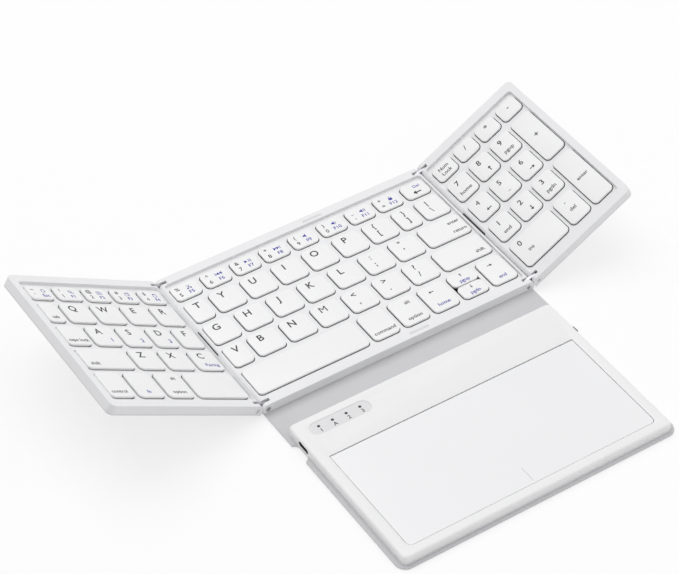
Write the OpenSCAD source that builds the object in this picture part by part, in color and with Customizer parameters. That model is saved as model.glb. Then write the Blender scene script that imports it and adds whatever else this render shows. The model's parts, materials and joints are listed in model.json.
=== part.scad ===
// Folding keyboard: three key panels on double-pivot hinges and a touchpad panel on a flexible cover.
// Origin: middle of the centre panel, on the surface that its feet stand on. +X right, +Y away, +Z up.
// The side panels stand at their resting angle; at zero they would lie flat.

/* [Key panels] */
// Width of the centre panel
centre_w = 167; // [150:0.2:184]
// Depth of every key panel, front to back
panel_d = 108.6; // [106:0.2:114]
// Thickness of every key panel
panel_t = 5.6; // [5.6:0.1:6.4]
// Width of the left side panel
left_w = 95.9; // [86:0.1:105]
// Gap between the two side panels when both are folded over the centre
folded_gap = 0.5; // [0.3:0.1:2]
// Thickness of the lower shells
base_t = 0.8; // [0.6:0.05:0.8]
// Thickness of the upper shells' side walls
wall_t = 1.4; // [1:0.1:1.8]
// Depth of the key deck below the rim
deck_depth = 1.7; // [1.5:0.1:1.8]
// Thickness of the key deck
deck_t = 0.9; // [0.8:0.1:1]
// Width of the back rim
rim_back = 5.5; // [5.3:0.1:6]
// Width of the front rim
rim_front = 5.3; // [5.2:0.1:6]
// Width of the rims next to a hinge
rim_hinge = 2.7; // [2.4:0.1:3]
// Width of the side panels' outer rims
rim_outer = 4; // [3:0.1:4.4]
// Radius of the side panels' outer corners
corner_r = 3.3; // [2:0.1:4]
// Radius of the corners of the sunk deck
well_r = 2; // [0.5:0.1:3]

/* [Hinges] */
// Resting angle of the side panels above flat
rest_angle = 30; // [0:1:60]
// Distance of a hinge pivot from the panel's top and from its edge
pivot_inset = 3.2; // [3:0.05:3.2]
// Gap between two panels across a hinge
hinge_gap = 0.2; // [0.15:0.05:0.5]
// Half height of a hinge link
link_r = 2.3; // [1.8:0.1:2.3]
// Thickness of a hinge link
link_t = 1.6; // [1.2:0.1:1.7]
// Distance from the panel's front or back face to the link
link_inset = 2.5; // [2.2:0.1:2.7]
// Free space around a link in its slot
link_play = 0.2; // [0.15:0.05:0.25]
// Radius of a hinge pin
pin_r = 0.8; // [0.6:0.05:1]
// Running clearance between a pin and a link
pin_play = 0.05; // [0.02:0.01:0.09]
// Length of a hinge pin, head included
pin_len = 6.5; // [6:0.1:6.8]
// Radius of a pin's head
pin_head_r = 1.5; // [1.2:0.1:1.8]
// Height of a pin's head
pin_head_t = 0.5; // [0.3:0.1:0.8]
// Width of the flex cable that crosses a hinge
cable_w = 18; // [12:0.5:18.5]
// Length of the slot for the flex cable
cable_slot_w = 20.7; // [19:0.1:24]
// Height of the slot for the flex cable
cable_slot_h = 1.4; // [1:0.1:1.4]
// Place of the flex cable along the hinge
cable_y = 0.7; // [-10:0.1:10]

/* [Keys] */
// Depth of the number row's keys
number_d = 11.1; // [10.5:0.1:11.8]
// Depth of the front row's keys
bar_d = 19.5; // [18.5:0.1:20.5]
// Width of the narrow letter keys next to a hinge
narrow_w = 11.7; // [11:0.1:12.4]
// Width of the narrow bracket key
bracket_w = 12; // [11.5:0.1:12.5]
// Width of the key at the right end of the upper letter row
slash_w = 15.5; // [14:0.1:17]
// Width of the key at the right end of the number row
delete_w = 15; // [14:0.1:17]
// Width of the key at the right end of the centre's front row
end_w = 15.5; // [14:0.1:17]
// Width of the key at the left end of the number row
tilde_w = 14; // [12:0.1:16]
// Width of the key at the left end of the upper letter row
tab_w = 10; // [8:0.1:12]
// Width of the key at the left end of the left panel's front row
control_w = 14.4; // [13:0.1:16]
// Width of the letter key beside the narrow-letter row
wide_letter_w = 15.7; // [15.2:0.1:16.2]
// Width of the centre's front-row keys
front_w = 15.7; // [15.3:0.1:16]
// Width of the left panel's front-row keys
left_front_w = 15.5; // [15:0.1:16]
// Width of the left panel's two home-row keys next to the hinge
left_home_w = 14; // [13.6:0.1:14.6]
// Space between keys of one row
key_space = 3; // [2.8:0.1:3.1]
// Space between rows of keys
row_space = 3.5; // [3:0.1:3.7]
// Space between the back rim and the first row
deck_back = 3; // [2:0.1:3.5]
// Space between the front rim and the last row
deck_front = 3.1; // [2:0.1:3.5]
// Space between the centre's side rims and its keys
centre_margin = 0.9; // [0.8:0.1:1.2]
// Space between the left panel's hinge rim and its keys
left_inner = 1.1; // [0.8:0.1:1.6]
// Space between the left panel's outer rim and its keys
left_outer = 1.7; // [0.8:0.1:2.2]
// Space between the number pad's hinge rim and its keys
right_inner = 1.5; // [0.8:0.1:1.8]
// Space between the number pad's outer rim and its keys
right_outer = 1; // [0.8:0.1:1.6]
// Space between the number pad's keys
pad_key_space = 2.5; // [2.3:0.1:2.8]
// Clearance between a key and its cut-out
key_play = 0.4; // [0.3:0.05:0.5]
// Height of a key cap
key_h = 2; // [1.8:0.1:2.1]
// Depth of the key tops below the rim
key_sink = 0.5; // [0.3:0.1:0.7]
// Thickness of a key cap's top
key_top_t = 0.7; // [0.6:0.05:0.9]
// Thickness of a key cap's sides
key_wall = 0.9; // [0.7:0.1:1.2]
// Radius of a key cap's corners
key_r = 2.6; // [1.5:0.1:3]
// Travel of a key
key_travel = 1; // [0.7:0.1:1.1]
// Space between the two stacked arrow keys
arrow_space = 0.7; // [0.5:0.1:1.2]
// Thickness of the steel key plate
plate_t = 0.3; // [0.2:0.05:0.35]
// Thickness of the membrane circuit
circuit_t = 0.2; // [0.1:0.05:0.25]
// Thickness of the rubber sheet between its domes
sheet_t = 0.2; // [0.1:0.05:0.25]
// Radius of a rubber dome at its foot
dome_r = 2.8; // [2:0.1:3.5]

/* [Touchpad panel] */
// Width of the touchpad housing
pad_w = 160.4; // [146:0.2:164]
// Depth of the touchpad housing
pad_d = 103; // [94:0.5:106]
// Height of the touchpad housing
pad_t = 5.25; // [5.25:0.05:6]
// Thickness of the housing's top
pad_top_t = 1; // [0.9:0.05:1.1]
// Thickness of the housing's sides
pad_wall = 1.5; // [1.2:0.1:1.8]
// Radius of the housing's corners
pad_r = 3; // [2:0.1:5]
// Thickness of the touchpad's lower shell
pad_base_t = 0.8; // [0.6:0.05:0.9]
// Distance from the housing's sides to the glass pad
glass_side = 6.7; // [5.5:0.1:10]
// Distance from the housing's back to the glass pad
glass_back = 28.9; // [28.5:0.1:33]
// Distance from the housing's front to the glass pad
glass_front = 5.8; // [5:0.1:6.5]
// Depth of the glass pad's face below the housing's top
glass_sink = 0.1; // [0.05:0.05:0.2]
// Radius of the glass pad's two front corners
glass_r = 2.5; // [1:0.1:4]
// Gap around the glass pad
glass_play = 0.3; // [0.2:0.05:0.4]
// Overlap of the sensor board under the housing's top
sensor_lap = 1.2; // [0.8:0.1:1.6]
// Thickness of the circuit boards
board_t = 0.8; // [0.6:0.05:0.8]
// Distance from the controller board's ends to the posts under it
post_inset = 18; // [15:0.5:24]
// Travel of the glass pad's click
click_travel = 0.3; // [0.2:0.05:0.4]
// Length of the battery
battery_w = 90; // [60:1:110]
// Depth of the battery
battery_d = 42; // [30:1:46]
// Thickness of the battery
battery_t = 2.2; // [1.6:0.1:2.2]
// Length of the indicator window
window_w = 35.5; // [30:0.5:38]
// Depth of the indicator window
window_d = 8.7; // [7:0.1:10]
// Distance from the housing's left side to the indicator window's middle
window_left = 25.2; // [22:0.1:28]
// Distance from the housing's back to the indicator window's middle
window_back = 9.6; // [9:0.1:10.5]
// Depth of the indicator window below the housing's top
window_sink = 0.2; // [0.1:0.05:0.3]
// Radius of an indicator lamp
lamp_r = 0.8; // [0.5:0.1:1]
// Spacing of the indicator lamps
lamp_pitch = 8.1; // [6:0.1:8.6]
// Distance from the housing's back to the charging port's middle
port_back = 14.8; // [13:0.1:16]
// Width of the charging port's shell
port_w = 8.9; // [8.8:0.1:9.2]
// Height of the charging port's shell
port_h = 3.2; // [3:0.05:3.25]
// Length of the charging port's shell
port_len = 7.3; // [6:0.1:8]
// Distance from the housing's back to the power switch's middle
switch_back = 20.8; // [19:0.1:21.5]
// Length of the power switch knob
knob_w = 4; // [3:0.1:5]
// Height of the power switch knob
knob_h = 1.6; // [1.2:0.1:1.8]
// Length that the knob stands out of the housing
knob_out = 1.2; // [0.8:0.1:1.5]
// Travel of the power switch
switch_travel = 2; // [1.5:0.1:2.5]
// Length of the recess round the power switch
recess_w = 11; // [9:0.5:12]
// Depth of the recess round the power switch
recess_d = 0.6; // [0.4:0.1:0.8]

/* [Cover] */
// Thickness of the cover sheet
cover_t = 1; // [0.8:0.05:1.2]
// Width of the cover sheet
cover_w = 165.8; // [164:0.2:166.4]
// Width of the cover in front of the touchpad housing
cover_lip = 2.1; // [1.5:0.1:3]
// Radius of the cover's free corners
cover_r = 6.2; // [2:0.1:10]
// Length of the notches for the port and the switch
notch_w = 13; // [11:0.5:14]
// Clearance between the spine strip and the folded panels
spine_play = 0.1; // [0.1:0.05:0.4]
// Clearance between the touchpad and the folded side panels
stack_play = 0.3; // [0.2:0.05:0.8]
// Slit left between two stretches of the cover at a fold
fold_slit = 0.2; // [0.1:0.05:0.4]
// Length of an anti-slip foot
foot_w = 10; // [6:0.5:14]
// Width of an anti-slip foot
foot_d = 1.2; // [0.8:0.1:2]
// Height of an anti-slip foot
foot_t = 0.4; // [0.3:0.05:0.8]
// Distance from the cover's sides to a foot
foot_x = 9; // [6:0.5:20]
// Distance from the cover's front and back to a foot
foot_y = 8; // [5:0.5:20]
// Length of a rim bumper
bumper_w = 12; // [8:0.5:16]
// Width of a rim bumper
bumper_d = 1.5; // [1:0.1:2]
// Height that a bumper stands above the rim
bumper_proud = 0.1; // [0.05:0.01:0.12]
// Depth of a bumper's pocket
bumper_sink = 1; // [0.6:0.1:1.5]

/* [Hidden] */
$fn = 48;
cut = 1;

// The cover's upper face, which carries every panel
cover_top = foot_t + cover_t;

// Side panels and hinge
right_w = centre_w - folded_gap - left_w;
link_len = 2 * pivot_inset + hinge_gap;
pivot_z = panel_t - pivot_inset;
pivot_x = centre_w / 2 - pivot_inset;
half_fold = rest_angle / 2;
link_y = panel_d / 2 - link_inset - link_t / 2;
block_w = pivot_inset + link_r + link_play + 1.3;
block_d = pin_len + 0.3;
press_play = 0.02;

// The bumpers lie where the folded side panels meet.
bumper_x = -centre_w / 2 + left_w + folded_gap / 2;
bumper_y = panel_d / 2 - rim_back / 2 - 0.3;

// Levels in a key panel, from its underside
deck_z = panel_t - deck_depth;
roof_z = deck_z - deck_t;
circuit_z = base_t + plate_t;
sheet_z = circuit_z + circuit_t;
key_z = panel_t - key_sink - key_h;
dome_h = key_z + key_h - key_top_t - key_travel - 0.1 - sheet_z - sheet_t;
layer_inset = wall_t + 0.4;
layer_d = panel_d - 2 * (block_d + 0.2);

// Rows of keys, from the back
letter_d = (panel_d - rim_back - rim_front - deck_back - deck_front - number_d - bar_d - 4 * row_space) / 3;
row_d = [number_d, letter_d, letter_d, letter_d, bar_d];
field_back = panel_d / 2 - rim_back - deck_back;
function total(v, n) = n == 0 ? 0 : v[n - 1] + total(v, n - 1);
function row_y(r) = field_back - total(row_d, r) - r * row_space - row_d[r] / 2;

// Letter and number keys share equally what the end keys of their row leave.
centre_field = centre_w - 2 * (rim_hinge + centre_margin);
left_start = rim_hinge + left_inner;
left_field = left_w - left_start - rim_outer - left_outer;
function share(field, ends, n, keys) = (field - ends - (keys - 1) * key_space) / n;
letter_w = share(centre_field, narrow_w + bracket_w + slash_w, 6, 9);
number_w = share(centre_field, delete_w, 8, 9);
left_letter_w = share(left_field, tab_w, 4, 5);
left_number_w = share(left_field, tilde_w, 4, 5);

// A zero in a row's list marks the key that fills the rest of the row.
letters = [for (i = [1:6]) letter_w];
centre_rows = [
    concat([for (i = [1:8]) number_w], [0]),
    concat([narrow_w], letters, [bracket_w, 0]),
    concat([wide_letter_w], letters, [0]),
    concat([narrow_w], letters, [0]),
    [0, front_w, front_w, front_w, front_w, end_w]
];
left_rows = [
    [left_number_w, left_number_w, left_number_w, left_number_w, 0],
    [left_letter_w, left_letter_w, left_letter_w, left_letter_w, 0],
    [left_home_w, left_home_w, left_letter_w, left_letter_w, 0],
    [left_letter_w, left_letter_w, left_letter_w, 0],
    [0, left_front_w, left_front_w, control_w]
];
right_start = rim_hinge + right_inner;
right_field = right_w - right_start - rim_outer - right_outer;
pad_key_w = (right_field - 3 * pad_key_space) / 4;

function fill(v, field) = [for (w = v) w > 0 ? w : field - total(v, len(v)) - key_space * (len(v) - 1)];
function key_at(ws, i, start) = start + total(ws, i) + i * key_space + ws[i] / 2;
function row_of(v, field, start, r) = let (ws = fill(v, field))
    [for (i = [0:len(ws) - 1]) [key_at(ws, i, start), row_y(r), ws[i], row_d[r]]];
function centre_row(r) = row_of(centre_rows[r], centre_field, -centre_field / 2, r);
function left_row(r) = row_of(left_rows[r], left_field, left_start, r);
function pad_x(c) = right_start + c * (pad_key_w + pad_key_space) + pad_key_w / 2;
function pad_key(c, r) = [pad_x(c), row_y(r), pad_key_w, row_d[r]];

// The plus and enter keys of the number pad span two rows.
function span_y(r) = row_y(r) + row_d[r] / 2 - span_d(r) / 2;
function span_d(r) = row_d[r] + row_space + row_d[r + 1];
zero_w = 2 * pad_key_w + pad_key_space;
zero_key = [right_start + zero_w / 2, row_y(4), zero_w, row_d[4]];
plus_spot = [pad_x(3), span_y(1), pad_key_w, span_d(1)];
pad_enter_spot = [pad_x(3), span_y(3), pad_key_w, span_d(3)];
function right_row(r) = r == 4 ? [zero_key, pad_key(2, 4)]
    : [for (c = [0:(r == 0 ? 3 : 2)]) pad_key(c, r)];

// Special keys of the centre panel
space_spot = centre_row(4)[0];
arrow_spot = centre_row(4)[4];
arrow_d = (bar_d - arrow_space) / 2;
arrow_shift = (arrow_d + arrow_space) / 2;
up_spot = [arrow_spot[0], arrow_spot[1] + arrow_shift, arrow_spot[2], arrow_d];
down_spot = [arrow_spot[0], arrow_spot[1] - arrow_shift, arrow_spot[2], arrow_d];

all_centre = [for (r = [0:4]) each centre_row(r)];
all_left = [for (r = [0:4]) each left_row(r)];
all_right = concat([for (r = [0:4]) each right_row(r)], [plus_spot, pad_enter_spot]);

// Touchpad panel
spine_len = 2 * panel_t + hinge_gap + stack_play + pad_t;
fold_a_y = -panel_d / 2 - spine_play;
fold_b_y = fold_a_y - spine_len;
pad_back_y = fold_b_y - 0.05;
pad_front_y = pad_back_y - pad_d;
pad_y = (pad_back_y + pad_front_y) / 2;
cover_front_y = pad_front_y - cover_lip;
glass_w = pad_w - 2 * glass_side;
glass_d = pad_d - glass_front - glass_back;
pad_top = cover_top + pad_t;
pad_roof = pad_top - pad_top_t;
pad_floor = cover_top + pad_base_t;
glass_y = pad_front_y + glass_front + glass_d / 2;
glass_t = pad_top_t - glass_sink + 0.05;
sensor_top = pad_top - glass_sink - glass_t;
board_z = pad_floor + 0.4;
port_y = pad_back_y - port_back;
port_z = cover_top + pad_t / 2;
switch_y = pad_back_y - switch_back;
switch_z = cover_top + pad_t / 2;
notch_d = (cover_w - pad_w) / 2;
window_x = window_left - pad_w / 2;
window_y = pad_back_y - window_back;
lamp_y = window_y + 1.1;
board_back = pad_back_y - pad_wall - 0.4;
board_front = glass_y + glass_d / 2 + sensor_lap + 0.6;
board_left = -pad_w / 2 + pad_wall + 0.4;
window_r = window_d / 2 - 0.01;
cover_back_y = panel_d / 2 - 0.6;

// ---- Shapes shared by several pieces ----

// Rectangle with four equal round corners, centred
module round_rect(w, d, r) {
    square([w - 2 * r, d], center = true);
    square([w, d - 2 * r], center = true);
    for (x = [-1, 1], y = [-1, 1])
        translate([x * (w / 2 - r), y * (d / 2 - r)]) circle(r);
}

// Rectangle from u = 0 to w, round only at its two outer corners
module wing_plan(w, d, r) {
    translate([0, -d / 2]) square([w - r, d]);
    translate([0, -d / 2 + r]) square([w, d - 2 * r]);
    for (y = [-1, 1])
        translate([w - r, y * (d / 2 - r)]) circle(r);
}

// Draws a profile in X and Z, and pulls it along Y over the length d
module along_y(d) {
    rotate([90, 0, 0]) linear_extrude(d, center = true) children();
}

// Moves a piece drawn with its hinge edge at u = 0 to the resting place of the right side panel
module place_right() {
    translate([pivot_x, 0, cover_top + pivot_z]) rotate([0, -half_fold, 0])
        translate([link_len, 0, 0]) rotate([0, -half_fold, 0])
            translate([-pivot_inset, 0, -pivot_z]) children();
}

module place_left() {
    mirror([1, 0, 0]) place_right() children();
}

module place_centre() {
    translate([0, 0, cover_top]) children();
}

// Slots for the two links of a hinge line, drawn round the pivot axis, with the edge at -X
module link_slots() {
    for (s = [-1, 1])
        translate([-pivot_inset - cut, s * link_y - link_t / 2 - link_play, -pivot_z - cut])
            cube([pivot_inset + cut + link_r + link_play, link_t + 2 * link_play, panel_t + 2 * cut]);
}

// Bores and head pockets for the two pins of a hinge line
module pin_bores() {
    for (s = [0, 1]) mirror([0, s, 0]) translate([0, panel_d / 2, 0]) rotate([90, 0, 0]) {
        translate([0, 0, -cut]) cylinder(r = pin_r + press_play, h = pin_len + cut + press_play);
        translate([0, 0, -cut]) cylinder(r = pin_head_r + press_play, h = pin_head_t + cut + press_play);
    }
}

// Slot for the flex cable, through the hinge edge into the hollow
module cable_slot() {
    translate([-pivot_inset - cut, cable_y - cable_slot_w / 2, roof_z - cable_slot_h - pivot_z])
        cube([wall_t + 2 * cut, cable_slot_w, cable_slot_h]);
}

// All cuts that a hinge line makes in an upper shell
module hinge_cuts() {
    link_slots();
    pin_bores();
    cable_slot();
}

// Two hinge pins, drawn round the pivot axis
module pin_pair() {
    for (s = [0, 1]) mirror([0, s, 0]) translate([0, panel_d / 2, 0]) rotate([90, 0, 0]) {
        cylinder(r = pin_r, h = pin_len);
        cylinder(r = pin_head_r, h = pin_head_t);
    }
}

// Corner blocks that hold the pins, drawn from the hinge edge at u = 0
module hinge_blocks() {
    for (s = [-1, 1])
        translate([-cut, s * (panel_d / 2 - block_d / 2) - block_d / 2, base_t - cut])
            cube([block_w + cut, block_d, panel_t]);
}

// One key cap, open below; k is its middle, width and depth
module key_cap(k) {
    translate([k[0], k[1], key_z]) difference() {
        linear_extrude(key_h) round_rect(k[2], k[3], key_r);
        translate([0, 0, -cut]) linear_extrude(key_h - key_top_t + cut)
            round_rect(k[2] - 2 * key_wall, k[3] - 2 * key_wall, key_r - key_wall);
    }
}

module key_caps(spots) {
    color("white") for (k = spots) key_cap(k);
}

// Cut-outs in the deck for a list of keys
module key_holes(spots) {
    for (k = spots)
        translate([k[0], k[1], roof_z - cut]) linear_extrude(deck_t + 2 * cut)
            round_rect(k[2] + 2 * key_play, k[3] + 2 * key_play, key_r + key_play);
}

module domes(spots) {
    for (k = spots)
        translate([k[0], k[1], sheet_z + sheet_t]) cylinder(r1 = dome_r, r2 = dome_r - 1, h = dome_h);
}

// Tail of a membrane circuit: it rises behind the wall, beside the sheet's edge, and leaves through
// the middle of the cable slot.
module cable_tail() {
    mouth_z = roof_z - cable_slot_h / 2;
    bend = wall_t + 0.05;
    translate([0, cable_y, 0]) along_y(cable_w)
        polygon([
            [layer_inset + 0.2, circuit_z],
            [bend, circuit_z],
            [bend, mouth_z - circuit_t / 2],
            [0.05, mouth_z - circuit_t / 2],
            [0.05, mouth_z + circuit_t / 2],
            [bend + circuit_t, mouth_z + circuit_t / 2],
            [bend + circuit_t, circuit_z + circuit_t],
            [layer_inset + 0.2, circuit_z + circuit_t]
        ]);
}

// Rims and walls of an upper shell stand round a flat deck. The two are one moulding, drawn as two
// nodes that meet face to face at the edge of the well.

// Outline of the well, drawn from its left edge at u = 0
module well_plan(w) {
    translate([w / 2, (rim_front - rim_back) / 2]) round_rect(w, panel_d - rim_back - rim_front, well_r);
}

// ---- Upper and lower shells of a side panel, from the hinge edge outwards ----

module wing_frame(w) {
    color("whitesmoke") difference() {
        intersection() {
            translate([0, 0, base_t]) linear_extrude(panel_t - base_t) wing_plan(w, panel_d, corner_r);
            along_y(panel_d + 2 * cut) union() {
                square([w + cut, pivot_z]);
                translate([pivot_inset, 0]) square([w + cut, panel_t]);
                translate([pivot_inset, pivot_z]) circle(pivot_inset);
            }
        }
        difference() {
            translate([wall_t, 0, base_t - cut]) linear_extrude(roof_z - base_t + cut)
                wing_plan(w - 2 * wall_t, panel_d - 2 * wall_t, corner_r - wall_t);
            hinge_blocks();
        }
        translate([rim_hinge, 0, roof_z]) linear_extrude(panel_t) well_plan(w - rim_hinge - rim_outer);
        translate([pivot_inset, 0, pivot_z]) hinge_cuts();
    }
}

module wing_deck(w, spots) {
    color("whitesmoke") difference() {
        translate([rim_hinge, 0, roof_z]) linear_extrude(deck_t) well_plan(w - rim_hinge - rim_outer);
        translate([pivot_inset, 0, pivot_z]) pin_bores();
        key_holes(spots);
    }
}

module wing_base(w) {
    color("gainsboro") difference() {
        linear_extrude(base_t) wing_plan(w, panel_d, corner_r);
        translate([pivot_inset, 0, pivot_z]) link_slots();
    }
}

module wing_layer(w, z, t) {
    translate([layer_inset, -layer_d / 2, z]) cube([w - 2 * layer_inset, layer_d, t]);
}

// ---- Centre panel ----

module centre_well(h) {
    translate([rim_hinge - centre_w / 2, 0, roof_z]) linear_extrude(h) well_plan(centre_w - 2 * rim_hinge);
}

module centre_frame() {
    place_centre() color("whitesmoke") difference() {
        along_y(panel_d) difference() {
            union() {
                translate([-centre_w / 2, 0]) square([centre_w, pivot_z]);
                translate([-pivot_x, 0]) square([2 * pivot_x, panel_t]);
                for (s = [-1, 1]) translate([s * pivot_x, pivot_z]) circle(pivot_inset);
            }
            translate([-centre_w, base_t - panel_t]) square([2 * centre_w, panel_t]);
        }
        difference() {
            translate([0, 0, base_t - cut]) linear_extrude(roof_z - base_t + cut)
                square([centre_w - 2 * wall_t, panel_d - 2 * wall_t], center = true);
            for (s = [0, 1]) mirror([s, 0, 0]) translate([-centre_w / 2, 0, 0]) hinge_blocks();
        }
        centre_well(panel_t);
        for (s = [0, 1]) mirror([s, 0, 0]) translate([-pivot_x, 0, pivot_z]) hinge_cuts();
        for (s = [-1, 1]) translate([bumper_x, s * bumper_y, panel_t - bumper_sink])
            linear_extrude(panel_t) round_rect(bumper_w, bumper_d, bumper_d / 2 - 0.01);
    }
}

module centre_deck() {
    place_centre() color("whitesmoke") difference() {
        centre_well(deck_t);
        for (s = [0, 1]) mirror([s, 0, 0]) translate([-pivot_x, 0, pivot_z]) pin_bores();
        key_holes(all_centre);
    }
}

module rim_bumpers() {
    place_centre() color("white") for (s = [-1, 1])
        translate([bumper_x, s * bumper_y, panel_t - bumper_sink])
            linear_extrude(bumper_sink + bumper_proud)
                round_rect(bumper_w - 0.1, bumper_d - 0.1, bumper_d / 2 - 0.06);
}

module centre_base() {
    place_centre() color("gainsboro") difference() {
        linear_extrude(base_t) square([centre_w, panel_d], center = true);
        for (s = [0, 1]) mirror([s, 0, 0]) translate([-pivot_x, 0, pivot_z]) link_slots();
    }
}

module centre_layer(z, t) {
    translate([0, 0, z + t / 2]) cube([centre_w - 2 * layer_inset, layer_d, t], center = true);
}

module centre_key_plate() {
    place_centre() color("silver") centre_layer(base_t, plate_t);
}

module centre_circuit() {
    place_centre() color("darkgreen") {
        centre_layer(circuit_z, circuit_t);
        for (s = [0, 1]) mirror([s, 0, 0]) translate([-centre_w / 2, 0, 0])
            cable_tail();
    }
}

module centre_dome_sheet() {
    place_centre() color("lightgray") {
        centre_layer(sheet_z, sheet_t);
        domes([for (k = all_centre) if (k[0] != arrow_spot[0] || k[1] != arrow_spot[1]) k]);
        domes([up_spot, down_spot]);
    }
}

module centre_hinge_pins() {
    place_centre() color("silver") for (s = [-1, 1]) translate([s * pivot_x, 0, pivot_z]) pin_pair();
}

// ---- Left side panel ----

module left_frame() {
    place_left() wing_frame(left_w);
}

module left_deck() {
    place_left() wing_deck(left_w, all_left);
}

module left_base() {
    place_left() wing_base(left_w);
}

module left_key_plate() {
    place_left() color("silver") wing_layer(left_w, base_t, plate_t);
}

module left_circuit() {
    place_left() color("darkgreen") {
        wing_layer(left_w, circuit_z, circuit_t);
        cable_tail();
    }
}

module left_dome_sheet() {
    place_left() color("lightgray") {
        wing_layer(left_w, sheet_z, sheet_t);
        domes(all_left);
    }
}

module left_hinge_pins() {
    place_left() color("silver") translate([pivot_inset, 0, pivot_z]) pin_pair();
}

// ---- Right side panel ----

module right_frame() {
    place_right() wing_frame(right_w);
}

module right_deck() {
    place_right() wing_deck(right_w, all_right);
}

module right_base() {
    place_right() wing_base(right_w);
}

module right_key_plate() {
    place_right() color("silver") wing_layer(right_w, base_t, plate_t);
}

module right_circuit() {
    place_right() color("darkgreen") {
        wing_layer(right_w, circuit_z, circuit_t);
        cable_tail();
    }
}

module right_dome_sheet() {
    place_right() color("lightgray") {
        wing_layer(right_w, sheet_z, sheet_t);
        domes(all_right);
    }
}

module right_hinge_pins() {
    place_right() color("silver") translate([pivot_inset, 0, pivot_z]) pin_pair();
}

// ---- Hinge links: flat bars with round ends and a bore at each pivot ----

module link_bar() {
    along_y(link_t) difference() {
        union() {
            translate([0, -link_r]) square([link_len, 2 * link_r]);
            circle(link_r);
            translate([link_len, 0]) circle(link_r);
        }
        circle(pin_r + pin_play);
        translate([link_len, 0]) circle(pin_r + pin_play);
    }
}

module link_pair() {
    color("silver") translate([pivot_x, 0, cover_top + pivot_z]) rotate([0, -half_fold, 0])
        for (s = [-1, 1]) translate([0, s * link_y, 0]) link_bar();
}

module right_links() {
    link_pair();
}

module left_links() {
    mirror([1, 0, 0]) link_pair();
}

// ---- Cover: back sheet, spine strip and front sheet ----

// Four feet under a stretch of cover that runs from y_front to y_back
module feet(y_front, y_back) {
    color("lightgray") for (s = [-1, 1], y = [y_front + foot_y, y_back - foot_y])
        translate([s * (cover_w / 2 - foot_x - foot_w / 2), y, 0])
            linear_extrude(foot_t) round_rect(foot_w, foot_d, foot_d / 2 - 0.01);
}

module cover_back() {
    color("lightgray") translate([-cover_w / 2, fold_a_y + fold_slit / 2, foot_t])
        cube([cover_w, cover_back_y - fold_a_y - fold_slit / 2, cover_t]);
}

module back_feet() {
    feet(fold_a_y, cover_back_y);
}

module cover_spine() {
    color("lightgray") translate([-cover_w / 2, fold_b_y + fold_slit / 2, foot_t])
        cube([cover_w, spine_len - fold_slit, cover_t]);
}

module cover_front() {
    color("lightgray") translate([0, 0, foot_t]) linear_extrude(cover_t) difference() {
        translate([0, fold_b_y - fold_slit / 2]) rotate(-90)
            wing_plan(fold_b_y - fold_slit / 2 - cover_front_y, cover_w, cover_r);
        for (side = [[-1, port_y], [1, switch_y]])
            translate([side[0] * cover_w / 2, side[1]])
                round_rect(2 * notch_d, notch_w, notch_d - 0.1);
    }
}

module front_feet() {
    feet(cover_front_y, fold_b_y);
}

// ---- Touchpad panel ----

// Outline of the glass pad, larger by a margin all round
module glass_plan(margin) {
    translate([0, glass_y + glass_d / 2 + margin]) rotate(-90)
        wing_plan(glass_d + 2 * margin, glass_w + 2 * margin, glass_r + margin);
}

module touchpad_housing() {
    knob_slot = knob_w + switch_travel;
    color("whitesmoke") difference() {
        translate([0, pad_y, cover_top]) linear_extrude(pad_t) round_rect(pad_w, pad_d, pad_r);
        translate([0, pad_y, cover_top - cut]) linear_extrude(pad_t - pad_top_t + cut)
            round_rect(pad_w - 2 * pad_wall, pad_d - 2 * pad_wall, pad_r - pad_wall);
        translate([0, 0, cover_top]) linear_extrude(pad_t + cut) glass_plan(glass_play);
        translate([window_x, window_y, cover_top]) linear_extrude(pad_t + cut)
            round_rect(window_w, window_d, window_r);
        translate([-pad_w / 2, port_y, port_z]) rotate([0, 90, 0]) linear_extrude(4 * pad_wall, center = true)
            round_rect(port_h + 0.1, port_w + 0.1, port_h / 2 - 0.05);
        translate([pad_w / 2 - pad_wall - cut, switch_y - knob_slot / 2, switch_z - knob_h / 2 + 0.1])
            cube([pad_wall + 2 * cut, knob_slot, knob_h - 0.2]);
        translate([pad_w / 2, switch_y, switch_z]) rotate([0, 90, 0])
            linear_extrude(2 * recess_d, center = true) round_rect(knob_h + 1, recess_w, 0.8);
    }
}

module touchpad_base() {
    post_h = board_z - pad_floor;
    color("gainsboro") {
        translate([0, pad_y, cover_top]) linear_extrude(pad_base_t)
            round_rect(pad_w - 2 * pad_wall - 0.2, pad_d - 2 * pad_wall - 0.2, pad_r - pad_wall);
        for (x = [-1, 0, 1], y = [board_back - 4, board_front + 4])
            translate([x * (-board_left - post_inset), y, pad_floor - 0.1])
                cylinder(r = 2, h = post_h + 0.1);
    }
}

module glass_pad() {
    color("white") translate([0, 0, pad_top - glass_sink - glass_t]) linear_extrude(glass_t) glass_plan(0);
}

module sensor_board() {
    color("darkgreen") translate([0, glass_y, sensor_top - board_t]) linear_extrude(board_t)
        square([glass_w + 2 * sensor_lap, glass_d + 2 * sensor_lap], center = true);
}

// The plunger stops just short of the sensor board, which comes down on it by the pad's travel.
module click_switch() {
    click_top = sensor_top - board_t - click_travel - 0.05;
    color("silver") translate([0, glass_y - glass_d / 2 + 8, pad_floor]) {
        translate([-3, -3, 0]) cube([6, 6, click_top - pad_floor - 0.4]);
        cylinder(r = 1.5, h = click_top - pad_floor);
    }
}

module battery() {
    color("dimgray") translate([0, glass_y + 3, pad_floor])
        linear_extrude(battery_t) round_rect(battery_w, battery_d, 1);
}

module controller_board() {
    color("darkgreen") difference() {
        translate([board_left, board_front, board_z])
            cube([-2 * board_left, board_back - board_front, board_t]);
        translate([board_left - cut, port_y - port_w / 2 - 0.2, board_z - cut])
            cube([port_len + cut, port_w + 0.4, board_t + 2 * cut]);
    }
}

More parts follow.
